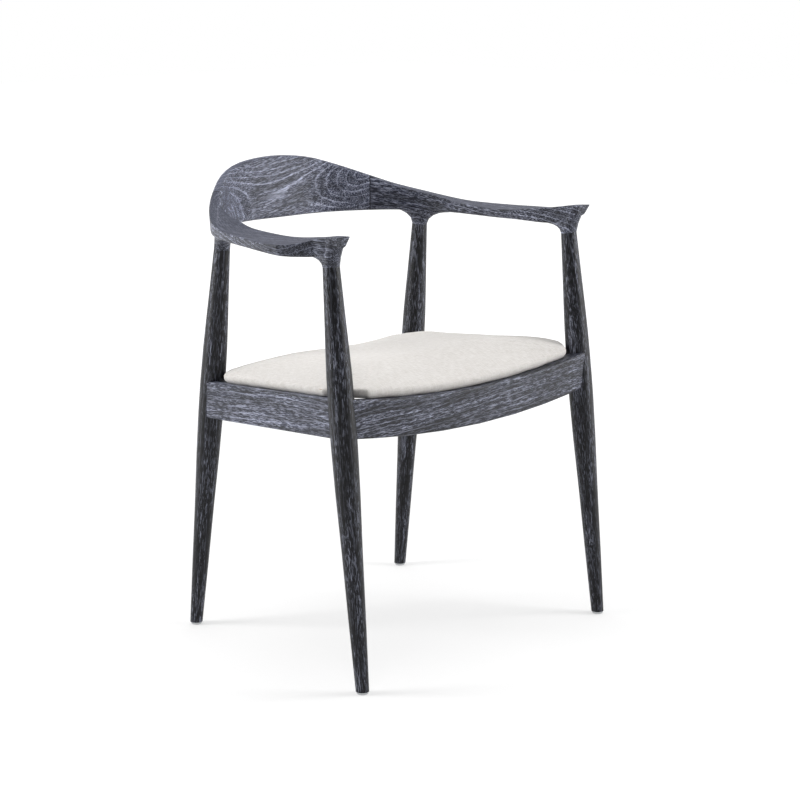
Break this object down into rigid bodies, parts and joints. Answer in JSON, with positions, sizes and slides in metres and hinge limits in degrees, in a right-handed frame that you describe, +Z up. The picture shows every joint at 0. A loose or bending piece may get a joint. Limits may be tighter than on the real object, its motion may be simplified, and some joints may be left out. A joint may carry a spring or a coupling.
{
  "type": "armchair",
  "caption": "Round-backed wooden armchair: a carved horseshoe of back rest and arms on turned tapered legs, with bowed rails and an upholstered seat.",
  "frame": {"origin": "on the floor, at the middle of the chair's footprint", "axes": "+Z up, -Y towards the front of the chair, +X towards the sitter's left"},
  "size_m": [0.6412, 0.5248, 0.762],
  "materials": {
    "stained_wood": "open-pored, stained near black with pale filler in the grain, satin",
    "dowel_wood": "plain turned hardwood",
    "block_wood": "plain sawn hardwood",
    "plywood": "bent laminated sheet",
    "glide_steel": "satin",
    "screw_steel": "zinc plated",
    "foam": "moulded upholstery foam",
    "seat_fabric": "off-white plain weave, matt",
    "dust_fabric": "thin black nonwoven"
  },
  "bodies": {
    "root": {"back_rest": "stained_wood", "arm_left": "stained_wood", "arm_right": "stained_wood", "back_joint_dowels_left": "dowel_wood", "back_joint_dowels_right": "dowel_wood", "front_leg_left": "stained_wood", "front_leg_right": "stained_wood", "back_leg_left": "stained_wood", "back_leg_right": "stained_wood", "foot_glide_front_left": "glide_steel", "foot_glide_front_right": "glide_steel", "foot_glide_back_left": "glide_steel", "foot_glide_back_right": "glide_steel", "front_rail": "stained_wood", "back_rail": "stained_wood", "side_rail_left": "stained_wood", "side_rail_right": "stained_wood", "corner_block_front_left": "block_wood", "corner_block_front_right": "block_wood", "corner_block_back_left": "block_wood", "corner_block_back_right": "block_wood", "block_screws": "screw_steel", "seat_screws": "screw_steel", "seat_board": "plywood", "seat_foam": "foam", "seat_cover": "seat_fabric", "seat_dust_cover": "dust_fabric"}
  },
  "joints": []
}
